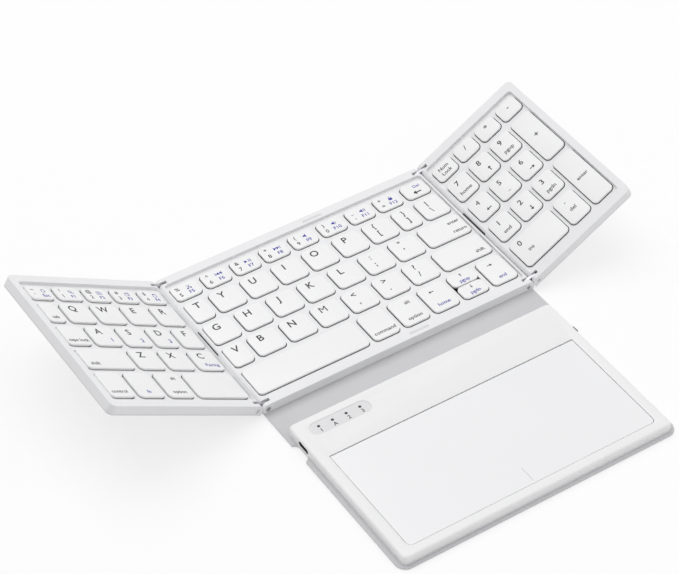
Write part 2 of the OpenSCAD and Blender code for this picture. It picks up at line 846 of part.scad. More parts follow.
module usb_port() {
    shell_t = 0.3;
    color("silver") translate([-pad_w / 2 + 0.3, port_y, port_z]) rotate([0, 90, 0]) {
        difference() {
            linear_extrude(port_len) round_rect(port_h, port_w, port_h / 2 - 0.1);
            translate([0, 0, -cut]) linear_extrude(port_len - 1 + cut)
                round_rect(port_h - 2 * shell_t, port_w - 2 * shell_t, port_h / 2 - 0.1 - shell_t);
        }
        translate([-0.35, -3.3, 0.6]) cube([0.7, 6.6, port_len - 1]);
    }
}

module power_switch_body() {
    color("dimgray") difference() {
        translate([pad_w / 2 - pad_wall - 4.2, switch_y - 4.5, board_z + board_t])
            cube([4, 9, pad_roof - 0.1 - board_z - board_t]);
        translate([pad_w / 2 - pad_wall - 1.7, switch_y - 3.5, switch_z - knob_h / 2 - 0.05])
            cube([2, 7, knob_h + 0.1 + cut]);
    }
}

// The knob rests at the off end of its slot.
module power_switch_knob() {
    neck_h = knob_h - 0.6;
    head_x = 0.1 - recess_d;
    color("black") translate([pad_w / 2, switch_y - switch_travel / 2, switch_z]) {
        translate([-pad_wall - 1.4, -knob_w / 2 + 0.5, -neck_h / 2])
            cube([pad_wall + 1.4 + knob_out / 2, knob_w - 1, neck_h]);
        translate([head_x, -knob_w / 2, -knob_h / 2]) cube([knob_out - head_x, knob_w, knob_h]);
    }
}

// One light pipe per lamp, run through the window
module light_pipes(r, z, h) {
    for (i = [0:3])
        translate([window_x + (i - 1.5) * lamp_pitch, lamp_y, z]) cylinder(r = r, h = h);
}

module indicator_window() {
    color("gainsboro") difference() {
        translate([window_x, window_y, pad_roof]) linear_extrude(pad_top_t - window_sink)
            round_rect(window_w - 0.1, window_d - 0.1, window_r - 0.05);
        light_pipes(lamp_r + press_play, pad_roof - cut, pad_top_t + 2 * cut);
    }
}

module indicator_leds() {
    color("black") light_pipes(lamp_r, board_z + board_t, pad_top - window_sink - board_z - board_t);
}

// ---- Keys ----

module left_keys_row1() { place_left() key_caps(left_row(0)); }
module left_keys_row2() { place_left() key_caps(left_row(1)); }
module left_keys_row3() { place_left() key_caps(left_row(2)); }
module left_keys_row4() { place_left() key_caps(left_row(3)); }
module left_keys_row5() { place_left() key_caps(left_row(4)); }

module centre_keys_row1() { place_centre() key_caps(centre_row(0)); }
module centre_keys_row2() { place_centre() key_caps(centre_row(1)); }
module centre_keys_row3() { place_centre() key_caps(centre_row(2)); }
module centre_keys_row4() { place_centre() key_caps(centre_row(3)); }
module centre_keys_row5() { place_centre() key_caps([for (i = [1, 2, 3, 5]) centre_row(4)[i]]); }
module centre_space_key() { place_centre() key_caps([space_spot]); }
module up_down_keys() { place_centre() key_caps([up_spot, down_spot]); }

module right_keys_row1() { place_right() key_caps(right_row(0)); }
module right_keys_row2() { place_right() key_caps(right_row(1)); }
module right_keys_row3() { place_right() key_caps(right_row(2)); }
module right_keys_row4() { place_right() key_caps(right_row(3)); }
module right_keys_row5() { place_right() key_caps(right_row(4)); }
module plus_key() { place_right() key_caps([plus_spot]); }
module number_enter_key() { place_right() key_caps([pad_enter_spot]); }

centre_frame();
centre_deck();
centre_base();
centre_key_plate();
centre_circuit();
centre_dome_sheet();
centre_hinge_pins();
rim_bumpers();
cover_back();
back_feet();
left_frame();
left_deck();
left_base();
left_key_plate();
left_circuit();
left_dome_sheet();
left_hinge_pins();
right_frame();
right_deck();
right_base();
right_key_plate();
right_circuit();
right_dome_sheet();
right_hinge_pins();
left_links();
right_links();
cover_spine();
touchpad_housing();
touchpad_base();
glass_pad();
sensor_board();
click_switch();
battery();
controller_board();
usb_port();
power_switch_body();
power_switch_knob();
indicator_window();
indicator_leds();
cover_front();
front_feet();
left_keys_row1();
left_keys_row2();
left_keys_row3();
left_keys_row4();
left_keys_row5();
centre_keys_row1();
centre_keys_row2();
centre_keys_row3();
centre_keys_row4();
centre_keys_row5();
centre_space_key();
up_down_keys();
right_keys_row1();
right_keys_row2();
right_keys_row3();
right_keys_row4();
right_keys_row5();
plus_key();
number_enter_key();
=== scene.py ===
import json
import math

import bmesh
import bpy
from mathutils import Matrix, Vector


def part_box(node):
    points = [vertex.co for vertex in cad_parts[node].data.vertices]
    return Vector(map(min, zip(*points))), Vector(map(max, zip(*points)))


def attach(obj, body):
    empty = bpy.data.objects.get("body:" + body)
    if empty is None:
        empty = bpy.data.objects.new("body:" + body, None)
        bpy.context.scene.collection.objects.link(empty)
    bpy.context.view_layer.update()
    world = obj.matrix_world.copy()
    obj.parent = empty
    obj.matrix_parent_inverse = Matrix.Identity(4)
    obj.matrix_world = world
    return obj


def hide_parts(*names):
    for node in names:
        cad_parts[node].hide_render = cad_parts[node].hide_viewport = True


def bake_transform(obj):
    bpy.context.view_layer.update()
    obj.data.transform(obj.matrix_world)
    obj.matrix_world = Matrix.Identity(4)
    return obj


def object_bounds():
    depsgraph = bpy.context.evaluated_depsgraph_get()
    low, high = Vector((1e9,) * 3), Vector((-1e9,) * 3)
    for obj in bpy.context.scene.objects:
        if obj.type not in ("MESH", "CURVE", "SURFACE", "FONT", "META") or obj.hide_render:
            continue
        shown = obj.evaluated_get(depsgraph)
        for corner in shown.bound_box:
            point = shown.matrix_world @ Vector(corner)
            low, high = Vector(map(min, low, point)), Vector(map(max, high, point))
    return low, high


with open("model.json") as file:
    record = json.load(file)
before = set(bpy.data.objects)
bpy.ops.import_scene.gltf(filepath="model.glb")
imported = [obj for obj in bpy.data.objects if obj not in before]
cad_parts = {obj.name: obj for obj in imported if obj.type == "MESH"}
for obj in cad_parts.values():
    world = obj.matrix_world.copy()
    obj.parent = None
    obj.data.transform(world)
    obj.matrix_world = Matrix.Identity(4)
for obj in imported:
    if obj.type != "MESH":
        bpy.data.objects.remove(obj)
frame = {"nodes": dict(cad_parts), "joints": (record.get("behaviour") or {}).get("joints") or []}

cad_low, cad_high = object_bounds()


# ---- Camera ----
# A long lens from the front left, looking down at about 43 degrees, so that the panels keep
# almost parallel edges.

LENS_MM = 131.28
SENSOR_MM = 36
CAMERA_PLACE = (-0.51203, -0.79215, 0.89606)
CAMERA_TURN = (46.559, 0.326, -33.038)

camera = bpy.data.objects.new("camera", bpy.data.cameras.new("camera"))
bpy.context.scene.collection.objects.link(camera)
camera.data.lens = LENS_MM
camera.data.sensor_width = SENSOR_MM
camera.location = CAMERA_PLACE
camera.rotation_euler = [math.radians(angle) for angle in CAMERA_TURN]
bpy.context.scene.camera = camera


# ---- Panel shells ----
# Injection-moulded shells with a raised rim and a sunk deck. They come out of a spark-eroded mould,
# so the white plastic is satin, not glossy, and its edges are broken by about a quarter millimetre.

# One millimetre in the frame's metres.
MM = 0.001
# Nearly all of a noise pattern's values lie between these two.
NOISE_LOW, NOISE_HIGH = 0.3, 0.7
GRAIN_STRENGTH = 0.6
# Corner points of a CAD mesh that lie closer than this are one, in metres.
SAME_PLACE = 1e-6
# Faces within the first angle are one flat face, and edges above the second are sharp, in degrees.
FLAT_ANGLE, SHARP_ANGLE = 1, 40


def linear(colour):
    """A #rrggbb colour of the screen as the linear colour that a shader takes."""
    parts = [int(colour[i:i + 2], 16) / 255 for i in (1, 3, 5)]
    return [p / 12.92 if p <= 0.04045 else ((p + 0.055) / 1.055) ** 2.4 for p in parts] + [1]


def add(tree, kind, sockets=None, **settings):
    """Adds one node, with its settings, and sets or links its input sockets."""
    node = tree.nodes.new(kind)
    for name, value in settings.items():
        setattr(node, name, value)
    for name, value in (sockets or {}).items():
        if isinstance(value, bpy.types.NodeSocket):
            tree.links.new(value, node.inputs[name])
        else:
            node.inputs[name].default_value = value
    return node


def finish(name, light, dark, rough, grain_mm, depth_mm, patch_mm=25, metallic=0, stretch=(1, 1, 1)):
    """A finish with slow patches between two colours, and a fine grain in its surface and gloss.

    rough is the lowest and the highest roughness. grain_mm is the grain's width as drawn, which is
    coarser than the real one where that is too fine to show. A stretch below 1 draws it out that way.
    """
    made = bpy.data.materials.new(name)
    made.use_nodes = True
    tree = made.node_tree
    shader = tree.nodes["Principled BSDF"]
    shader.inputs["Metallic"].default_value = metallic
    place = add(tree, "ShaderNodeTexCoord").outputs["Object"]
    patches = add(tree, "ShaderNodeTexNoise", {"Vector": place, "Scale": 1000 / patch_mm, "Detail": 3})
    colour = add(tree, "ShaderNodeMix", {"Factor": patches.outputs["Fac"]}, data_type="RGBA")
    # A mix node has its colour sockets after its number and vector ones.
    colour.inputs[6].default_value = linear(dark)
    colour.inputs[7].default_value = linear(light)
    tree.links.new(colour.outputs[2], shader.inputs["Base Color"])
    along = add(tree, "ShaderNodeMapping", {"Vector": place, "Scale": stretch})
    grain = add(tree, "ShaderNodeTexNoise", {
        "Vector": along.outputs[0], "Scale": 1000 / grain_mm, "Detail": 2})
    gloss = add(tree, "ShaderNodeMapRange", {
        "Value": grain.outputs["Fac"], "From Min": NOISE_LOW, "From Max": NOISE_HIGH,
        "To Min": rough[0], "To Max": rough[1]})
    tree.links.new(gloss.outputs[0], shader.inputs["Roughness"])
    bump = add(tree, "ShaderNodeBump", {
        "Height": grain.outputs["Fac"], "Distance": depth_mm * MM, "Strength": GRAIN_STRENGTH})
    tree.links.new(bump.outputs[0], shader.inputs["Normal"])
    return made


def wear(thing, material):
    """Gives a piece, or a CAD node by its name, one finish."""
    thing = frame["nodes"].get(thing, thing) if isinstance(thing, str) else thing
    thing.data.materials.clear()
    thing.data.materials.append(material)


def soften(node, radius_mm, segments=2):
    """Rounds the sharp edges of a CAD node where it is shown, without changing its mesh."""
    thing = frame["nodes"][node]
    merge = thing.modifiers.new("merge", "WELD")
    merge.merge_threshold = SAME_PLACE
    flat = thing.modifiers.new("flat", "DECIMATE")
    flat.decimate_type = "DISSOLVE"
    flat.angle_limit = math.radians(FLAT_ANGLE)
    edge = thing.modifiers.new("edge", "BEVEL")
    edge.width = radius_mm * MM
    edge.segments = segments
    edge.limit_method = "ANGLE"
    edge.angle_limit = math.radians(SHARP_ANGLE)


# Spark-eroded ABS: a fine satin grain that softens the highlights of the broad rims. The real grain
# is about 0.05 mm, and is drawn at 0.25 mm, because it wouldn't show.
satin_abs = finish("spark_eroded_abs", "#eeeeef", "#eaeaeb", (0.42, 0.56), 0.25, 0.012)
# Textured ABS: the lower shells are a little greyer and rougher, so they read as a second piece.
textured_abs = finish("textured_moulded_abs", "#e2e2e4", "#dadadc", (0.5, 0.65), 0.4, 0.02)

for side in ("centre", "left", "right"):
    wear(side + "_frame", satin_abs)
    soften(side + "_frame", 0.22)
    wear(side + "_deck", satin_abs)
    soften(side + "_deck", 0.08)
    wear(side + "_base", textured_abs)
    soften(side + "_base", 0.15)


# ---- Layers inside the key panels ----
# Rolled steel key plates, black printed circuit film whose tails reach the hinge slots, and
# moulded rubber dome sheets. They show only through the gaps round the keys.

# Rolled steel has faint marks along the sheet.
rolled_steel = finish("rolled_steel", "#a9a9ac", "#97979a", (0.3, 0.45), 0.3, 0.004,
                      metallic=1, stretch=(0.1, 1, 1))
# Black printed polyester film is nearly smooth, so it glints a little along its bends.
circuit_film = finish("black_printed_polyester", "#0e0e10", "#09090a", (0.4, 0.52), 0.6, 0.003,
                      patch_mm=6)
# Black moulded silicone has no gloss. The dome sheets are of it, and each cap's stem side takes it
# as painted shade under the cap's plate, so the gap round each cap is a dark line.
dome_rubber_and_stem_shade = finish("black_moulded_silicone", "#232325", "#1a1a1c", (0.75, 0.9), 0.3, 0.01)

for side in ("centre", "left", "right"):
    wear(side + "_key_plate", rolled_steel)
    wear(side + "_circuit", circuit_film)
    wear(side + "_dome_sheet", dome_rubber_and_stem_shade)


# ---- Key caps ----
# Each cap is a white moulded ABS plate with round corners and a small radius round its top, on a
# narrower stem whose side is painted black as painted shade under the plate, so that the gap round
# it is a thin dark line. Its place and size come from the CAD cap that it replaces.

joints = {joint["name"]: joint for joint in frame["joints"]}


def panel_space(side):
    """The matrix from a panel's own space, whose +Z stands on the keys' tops, to the shared frame."""
    press = joints["centre_keys_row1_press" if side == "centre" else side + "_keys_row1_press"]
    up = -Vector(press["axis"]).normalized()
    back = Vector((0, 1, 0))
    right = back.cross(up)
    turn = Matrix((right, back, up)).transposed().to_4x4()
    origin = (0, 0, 0) if side == "centre" else joints[side + "_panel_turn"]["pos_m"]
    return Matrix.Translation(origin) @ turn


# An inset never takes a corner's radius below this.
LEAST_RADIUS = 0.02 * MM


def outline(low, high, radius, inset=0, steps=6):
    """Points of a rectangle with round corners, anticlockwise from its back right corner."""
    r = max(radius - inset, LEAST_RADIUS)
    x0, x1, y0, y1 = low[0] + inset, high[0] - inset, low[1] + inset, high[1] - inset
    corners = (
        (x1 - r, y1 - r, 0), (x0 + r, y1 - r, 90), (x0 + r, y0 + r, 180), (x1 - r, y0 + r, 270))
    points = []
    for x, y, start in corners:
        for i in range(steps + 1):
            turn = math.radians(start + 90 * i / steps)
            points.append((x + r * math.cos(turn), y + r * math.sin(turn)))
    return points


def stack(mesh, rings):
    """Joins rings of points into one closed skin."""
    loops = [[mesh.verts.new(point) for point in ring] for ring in rings]
    for lower, upper in zip(loops, loops[1:]):
        for i in range(len(lower)):
            j = (i + 1) % len(lower)
            mesh.faces.new((lower[i], lower[j], upper[j], upper[i]))
    mesh.faces.new(loops[0][::-1])
    mesh.faces.new(loops[-1])


def piece(name, mesh, material, body=None, crease=35):
    """Makes a piece of the object from a bmesh. It is smooth except at edges sharper than crease."""
    data = bpy.data.meshes.new(name)
    mesh.to_mesh(data)
    mesh.free()
    data.polygons.foreach_set("use_smooth", [True] * len(data.polygons))
    data.set_sharp_from_angle(angle=math.radians(crease))
    made = bpy.data.objects.new(name, data)
    bpy.context.scene.collection.objects.link(made)
    wear(made, material)
    if body:
        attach(made, body)
    return made


CAP_CORNER = 2.6 * MM
CAP_EDGE = 0.2 * MM
CAP_DRAFT = 0.08 * MM
CAP_PLATE = 0.95 * MM
# The stem stands in from the plate's edge by this much.
CAP_STEM = 0.7 * MM
CAP_EDGE_STEPS = 4

# Satin ABS from a finer mould: whiter than the shells and slightly glossier.
satin_cap = finish("fine_satin_abs", "#f4f4f4", "#f1f1f1", (0.34, 0.46), 0.2, 0.006)


def islands(node, to_local):
    """Lowest and highest corner of each solid of a CAD node, in a panel's space, from its back left."""
    mesh = bmesh.new()
    mesh.from_mesh(frame["nodes"][node].data)
    bmesh.ops.remove_doubles(mesh, verts=mesh.verts, dist=SAME_PLACE)
    waiting = {v.index: v for v in mesh.verts}
    found = []
    while waiting:
        todo = [waiting.pop(min(waiting))]
        points = []
        while todo:
            vertex = todo.pop()
            points.append(to_local @ vertex.co)
            for edge in vertex.link_edges:
                other = edge.other_vert(vertex)
                if other.index in waiting:
                    todo.append(waiting.pop(other.index))
        found.append((
            Vector([min(p[k] for p in points) for k in range(3)]),
            Vector([max(p[k] for p in points) for k in range(3)])))
    mesh.free()
    return sorted(found, key=lambda corners: (round(corners[0].x, 4), -corners[0].y))


def caps(node, side):
    """Replaces a CAD node of key caps by detailed ones. Returns their corners in the panel's space."""
    space = panel_space(side)
    places = islands(node, space.inverted())
    mesh = bmesh.new()
    for low, high in places:
        profile = [(CAP_STEM, low.z), (CAP_STEM, high.z - CAP_PLATE), (0, high.z - CAP_PLATE),
                   (CAP_DRAFT, high.z - CAP_EDGE)]
        for i in range(1, CAP_EDGE_STEPS + 1):
            turn = math.radians(90 * i / CAP_EDGE_STEPS)
            profile.append((
                CAP_DRAFT + CAP_EDGE * (1 - math.cos(turn)),
                high.z - CAP_EDGE * (1 - math.sin(turn))))
        first = len(mesh.faces)
        stack(mesh, [
            [space @ Vector((x, y, z)) for x, y in outline(low, high, CAP_CORNER, inset)]
            for inset, z in profile])
        mesh.faces.ensure_lookup_table()
        # The first band of faces is the stem's side, which takes the second material: black painted
        # shade under the cap's plate.
        for face in mesh.faces[first:first + len(outline(low, high, CAP_CORNER))]:
            face.material_index = 1
    made = piece(node + "_caps", mesh, satin_cap, node, crease=60)
    # Painted shade: the stems' sides are black for the shade under the plates.
    made.data.materials.append(dome_rubber_and_stem_shade)
    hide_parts(node)
    return places


# ---- Marks on the keys ----
# Marks are pad-printed on the caps in a dark and a blue ink. Letters sit left of the middle and near
# the back edge, words near the front edge, and second functions are blue.

# Pad-printed ink lies on the cap and is duller than it.
dark_ink = finish("dark_printed_ink", "#17171a", "#0f0f11", (0.5, 0.6), 0.2, 0.001, patch_mm=3)
blue_ink = finish("blue_printed_ink", "#2525a2", "#1d1d92", (0.5, 0.6), 0.2, 0.001, patch_mm=3)

INK_HEIGHT = 0.02 * MM
# The print is a little bolder than the plain letters, by this share of a capital's height.
STROKE_GROWTH = 0.02
# Growing these two would close their sharp inner corners.
NOT_GROWN = "M4"


def glyphs(text, height_mm):
    """Text as a mesh, centred, with capitals of the given height."""
    curve = bpy.data.curves.new("mark", "FONT")
    curve.body = text
    curve.align_x = "CENTER"
    curve.size = height_mm * MM / CAPITAL
    curve.extrude = INK_HEIGHT / 2
    if text not in NOT_GROWN:
        curve.offset = STROKE_GROWTH * height_mm * MM
    curve.resolution_u = 3
    holder = bpy.data.objects.new("mark", curve)
    bpy.context.scene.collection.objects.link(holder)
    bpy.context.view_layer.update()
    made = bpy.data.meshes.new_from_object(holder.evaluated_get(bpy.context.evaluated_depsgraph_get()))
    bpy.data.objects.remove(holder)
    bpy.data.curves.remove(curve)
    return made


# The height of a capital at font size 1, measured on one of that size.
CAPITAL = 1
CAPITAL = max(vertex.co.y for vertex in glyphs("H", 1000).vertices)


def stroke(points, width, closed=False):
    """The outline of each stretch of a drawn line."""
    bars = []
    for a, b in zip(points, points[1:] + (points[:1] if closed else [])):
        along = (Vector(b) - Vector(a)).normalized() * width / 2
        aside = Vector((-along.y, along.x))
        a, b = Vector(a) - along, Vector(b) + along
        bars.append([a - aside, b - aside, b + aside, a + aside])
    return bars


def ring(x, y, radius, count=12):
    """Points round a circle."""
    turns = [2 * math.pi * i / count for i in range(count)]
    return [(x + radius * math.cos(t), y + radius * math.sin(t)) for t in turns]


# Drawn marks, one unit high, as lists of filled outlines.
ARROW = [[(-0.5, -0.08), (0.1, -0.08), (0.1, 0.08), (-0.5, 0.08)],
         [(0.1, -0.32), (0.5, 0), (0.1, 0.32)]]
SPEAKER = [[(-0.6, -0.2), (-0.3, -0.2), (-0.3, 0.2), (-0.6, 0.2)],
           [(-0.3, -0.2), (0.05, -0.5), (0.05, 0.5), (-0.3, 0.2)]]
SOUND = stroke([(0.25, -0.25), (0.36, 0), (0.25, 0.25)], 0.11)
LOUDER = stroke([(0.48, -0.42), (0.66, 0), (0.48, 0.42)], 0.11)
FORWARDS = [[(-0.75, -0.4), (-0.1, 0), (-0.75, 0.4)]]
PAUSE = [[(0.15, -0.4), (0.3, -0.4), (0.3, 0.4), (0.15, 0.4)],
         [(0.5, -0.4), (0.65, -0.4), (0.65, 0.4), (0.5, 0.4)]]
NEXT = FORWARDS + [[(-0.1, -0.4), (0.55, 0), (-0.1, 0.4)],
                   [(0.58, -0.4), (0.72, -0.4), (0.72, 0.4), (0.58, 0.4)]]
PAGE = [(-0.5, -0.5), (0.2, -0.5), (0.2, 0.3), (-0.5, 0.3)]
DRAWN = {
    "right": ARROW,
    "up": [[(-y, x) for x, y in part] for part in ARROW],
    "left": [[(-x, -y) for x, y in part] for part in ARROW],
    "down": [[(y, -x) for x, y in part] for part in ARROW],
    "mute": SPEAKER,
    "quieter": SPEAKER + SOUND,
    "louder": SPEAKER + SOUND + LOUDER,
    "play": FORWARDS + PAUSE,
    "next": NEXT,
    "back": [[(-x, -y) for x, y in part] for part in NEXT],
    "lock": [[(-0.4, -0.5), (0.4, -0.5), (0.4, 0.1), (-0.4, 0.1)]]
    + stroke([(-0.24, 0.1), (-0.24, 0.34), (0, 0.48), (0.24, 0.34), (0.24, 0.1)], 0.11),
    "search": stroke(ring(-0.1, 0.1, 0.34), 0.11, True) + stroke([(0.16, -0.16), (0.48, -0.48)], 0.14),
    "circle": stroke(ring(0, 0, 0.42), 0.12, True),
    "select": stroke([(-0.5, -0.45), (0.5, -0.45), (0.5, 0.45), (-0.5, 0.45)], 0.1, True)
    + stroke([(-0.22, 0.15), (0.22, 0.15)], 0.1) + stroke([(-0.22, -0.12), (0.22, -0.12)], 0.1),
    "copy": stroke(PAGE, 0.1, True) + stroke([(-0.2, 0.5), (0.5, 0.5), (0.5, -0.28)], 0.1),
    "paste": stroke([(-0.4, -0.5), (0.4, -0.5), (0.4, 0.35), (-0.4, 0.35)], 0.1, True)
    + [[(-0.2, 0.3), (0.2, 0.3), (0.2, 0.52), (-0.2, 0.52)]],
    "cut": stroke([(-0.4, -0.5), (0.3, 0.5)], 0.1) + stroke([(0.4, -0.5), (-0.3, 0.5)], 0.1)
    + stroke(ring(-0.32, -0.36, 0.16, 8), 0.08, True) + stroke(ring(0.32, -0.36, 0.16, 8), 0.08, True),
}


def drawn(mark, height_mm):
    """A drawn mark as a mesh, centred."""
    mesh = bmesh.new()
    for part in DRAWN[mark]:
        points = [Vector((x, y, 0)) * height_mm * MM for x, y in part]
        stack(mesh, [
            [point + Vector((0, 0, z)) for point in points] for z in (-INK_HEIGHT / 2, INK_HEIGHT / 2)])
    bmesh.ops.recalc_face_normals(mesh, faces=mesh.faces)
    made = bpy.data.meshes.new(mark)
    mesh.to_mesh(made)
    mesh.free()
    return made


# Each mark is its text, its place on the cap, its height and its ink, with lengths in mm.

def letter(text):
    """A key with one large letter."""
    return [(text, 6.5, 4.1, 4.3, dark_ink)]


def pair(upper, lower):
    """A key with two signs, one for use with shift."""
    return [(upper, 6.3, 3.6, 3.6, dark_ink), (lower, 6.3, 9.4, 3.6, dark_ink)]


def number(symbol, digit, second, sign):
    """A key of the number row, with its second function and that function's sign in blue."""
    return [(symbol, 3.7, 2.9, 2.5, dark_ink), (digit, 3.7, 7.6, 2.6, dark_ink),
            (sign, 10, 4.1, 2.7, blue_ink), (second, 10, 7.8, 2.3, blue_ink)]


def word(text, x, y, ink=None, height=2.3):
    """One word or sign at a given place."""
    return [(text, x, y, height, ink or dark_ink)]


def pad_key(digit, second):
    """A key of the number pad, with a word or an arrow in front of its digit."""
    arrow = second in DRAWN
    return [(digit, 5.6, 3.9, 3.4, dark_ink),
            (second, 8.2 if arrow else 6.8, 11.6 if arrow else 11, 3.4 if arrow else 2.4, dark_ink)]


MARKS = {
    "left_keys_row1": [number("~", "`", "Esc", "circle"), number("!", "1", "F1", "search"),
                       number("@", "2", "F2", "select"), number("#", "3", "F3", "copy"),
                       number("$", "4", "F4", "paste")],
    "left_keys_row2": [word("tab", 5, 11.8)] + [letter(c) for c in "QWER"],
    "left_keys_row3": [word("caps lock", 7.4, 11.8), letter("A") + word("1", 11.4, 11, blue_ink, 2.9),
                       letter("S") + word("2", 11.4, 11, blue_ink, 2.9),
                       letter("D") + word("3", 10.2, 11, blue_ink, 2.9), letter("F")],
    "left_keys_row4": [word("shift", 6, 11.8), letter("Z"), letter("X"),
                       letter("C") + word("Pairing", 9.6, 11.6, blue_ink)],
    "left_keys_row5": [word("control", 6.6, 15.2), word("fn", 7.4, 15.2, blue_ink),
                       word("alt", 10.4, 4.2) + word("option", 8, 15.2), []],
    "centre_keys_row1": [number("%", "5", "F5", "cut"), number("^", "6", "F6", "back"),
                         number("&", "7", "F7", "play"), number("*", "8", "F8", "next"),
                         number("(", "9", "F9", "mute"), number(")", "0", "F10", "quieter"),
                         number("_", "-", "F11", "louder"), number("+", "=", "F12", "lock"),
                         word("Del", 9.4, 3.2, blue_ink, 2.0) + word("left", 7.5, 7.8, height=5)],
    "centre_keys_row2": [letter(c) for c in "TYUIOP"]
    + [pair("{", "["), pair("}", "]"), pair("|", "\\")],
    "centre_keys_row3": [letter(c) for c in "GHJKL"] + [pair(":", ";"), pair('"', "'")]
    + [word("enter", 21, 4.4) + word("return", 21, 11.4)],
    "centre_keys_row4": [letter(c) for c in "VBNM"] + [pair("<", ","), pair(">", "."), pair("?", "/")]
    + [word("shift", 24.5, 11.4)],
    "centre_keys_row5": [word("command", 8.4, 15.2), word("alt", 10.4, 4.2) + word("option", 8.4, 15.2),
                         word("left", 6.5, 5, height=3) + word("home", 8, 15, blue_ink),
                         word("right", 6.5, 5, height=3) + word("end", 8, 15, blue_ink)],
    "up_down_keys": [word("up", 8, 2.6, height=2.4) + word("pgup", 8, 6.6, blue_ink),
                     word("down", 8, 2.6, height=2.4) + word("pgdn", 8, 6.6, blue_ink)],
    "right_keys_row1": [word("Num", 6.8, 3.6) + word("Lock", 6.8, 7.4), word("/", 6.8, 4.2, height=3.2),
                        word("*", 6.8, 4.2, height=3.4), word("-", 6.8, 4.2, height=3.4)],
    "right_keys_row2": [pad_key("7", "home"), pad_key("8", "up"), pad_key("9", "pgup")],
    "right_keys_row3": [pad_key("4", "left"), pad_key("5", "_"), pad_key("6", "right")],
    "right_keys_row4": [pad_key("1", "end"), pad_key("2", "down"), pad_key("3", "pgdn")],
    "right_keys_row5": [word("0", 5.6, 3.9, height=3.4) + word("ins", 8.4, 11), pad_key(".", "del")],
    "plus_key": [word("+", 6.8, 16.6, height=3.6)],
    "number_enter_key": [word("enter", 6.8, 19)],
    # No mark is drawn on the space key.
    "centre_space_key": [[]],
}


def print_marks(node, side, places):
    """Prints each cap's marks; x and y run right and forwards from its back left corner, in mm."""
    space = panel_space(side)
    prints = {dark_ink: bmesh.new(), blue_ink: bmesh.new()}
    for (low, high), marks in zip(places, MARKS[node]):
        for text, x, y, height, ink in marks:
            mark = drawn(text, height) if text in DRAWN else glyphs(text, height)
            middle = 0 if text in DRAWN else height / 2
            # Text stands on its base line, and a drawn mark is centred.
            place = (low.x + x * MM, high.y - (y + middle) * MM, high.z + INK_HEIGHT / 2)
            mark.transform(space @ Matrix.Translation(place))
            prints[ink].from_mesh(mark)
            bpy.data.meshes.remove(mark)
    for ink, mesh in prints.items():
        if mesh.verts:
            piece(f"{node}_{ink.name.split('_')[0]}_marks", mesh, ink, node, crease=30)
        else:
            mesh.free()


# The other names begin with their panel's side.
KEY_SIDES = {"up_down_keys": "centre", "plus_key": "right", "number_enter_key": "right"}
for node in MARKS:
    side = KEY_SIDES.get(node, node.split("_")[0])
    print_marks(node, side, caps(node, side))


# ---- Hinge links and pins ----
# Punched steel bars with round ends turn on steel pins that are screwed in, with their heads flush
# in the shells. The bars are darker than the shells, so they stand out in their slots.

# Brushed steel: the brushing runs along the bars and stretches their highlights.
brushed_link = finish("brushed_steel", "#b4b4b8", "#9c9ca0", (0.28, 0.42), 0.15, 0.004, patch_mm=4,
                      metallic=1, stretch=(0.1, 1, 0.1))
# Turned steel: the pin heads are smoother and paler than the bars.
turned_pin = finish("turned_steel", "#d2d2d5", "#c2c2c5", (0.22, 0.32), 0.15, 0.002, patch_mm=3,
                    metallic=1)
HINGE_PINS = ("centre_hinge_pins", "left_hinge_pins", "right_hinge_pins")
for node in ("left_links", "right_links"):
    wear(node, brushed_link)
    soften(node, 0.12)
for node in HINGE_PINS:
    wear(node, turned_pin)

# Each head has a slot sawn across its face, to screw the pin in with. It is drawn as a thin dark
# plate on the head: painted shade in place of the slot's hollow.
SLOT_LENGTH = 1.7 * MM
SLOT_WIDTH = 0.34 * MM
SLOT_CORNER = 0.1 * MM
SLOT_LIFT = 0.02 * MM
SLOT_TURN = math.radians(40)
# Painted shade: an almost glossless dark plate stands for the shade in the slot, so the slot reads as a
# dark line.
painted_slot_shade = finish("blackened_steel", "#2a2a2c", "#1f1f21", (0.6, 0.75), 0.1, 0.002, patch_mm=1)
for node in HINGE_PINS:
    mesh = bmesh.new()
    for low, high in islands(node, Matrix.Identity(4)):
        middle = (low + high) / 2
        front = middle.y < 0
        face = low.y if front else high.y
        half = (SLOT_LENGTH / 2, SLOT_WIDTH / 2)
        slot_points = outline((-half[0], -half[1]), half, SLOT_CORNER, 0, 3)
        rings = []
        for depth in (0, SLOT_LIFT):
            y = face - depth if front else face + depth
            rings.append([Vector((
                middle.x + a * math.cos(SLOT_TURN) - b * math.sin(SLOT_TURN), y,
                middle.z + a * math.sin(SLOT_TURN) + b * math.cos(SLOT_TURN)))
                for a, b in slot_points])
        stack(mesh, rings)
    bmesh.ops.recalc_face_normals(mesh, faces=mesh.faces)
    piece(node.replace("pins", "pin_slots"), mesh, painted_slot_shade, node.split("_")[0] + "_panel")


# ---- Flex ribbons ----
# A black printed film ribbon leaves each slot, lies on the rounded edge until it is a little above
# the line between the two pivots, crosses the gap and goes down the other panel's edge to its slot.

RIBBON_WIDTH = 19.5 * MM
RIBBON_THICK = 0.08 * MM
# The ribbon lies this far off the rounded edge under it.
RIBBON_GAP = 0.01 * MM
# Turn above the line between the pivots at which the ribbon leaves an edge, in degrees.
RIBBON_LIFT = 28
# The crossing stretch bows up by this much.
BRIDGE_RISE = 0.3 * MM
RIBBON_STEPS = 12
BRIDGE_STEPS = 8


def around(pivot, turn, radius):
    """The point at a distance from a pivot, at a turn in degrees above +X."""
    return pivot + Vector((math.cos(math.radians(turn)), 0, math.sin(math.radians(turn)))) * radius


def strip(name, crossings, y, body=None):
    """A strip of film through pairs of points, one under it and one over it, with its middle at y."""
    front, back = Vector((0, y - RIBBON_WIDTH / 2, 0)), Vector((0, y + RIBBON_WIDTH / 2, 0))
    mesh = bmesh.new()
    stack(mesh, [[under + front, over + front, over + back, under + back] for under, over in crossings])
    bmesh.ops.recalc_face_normals(mesh, faces=mesh.faces)
    return piece(name, mesh, circuit_film, body, crease=50)


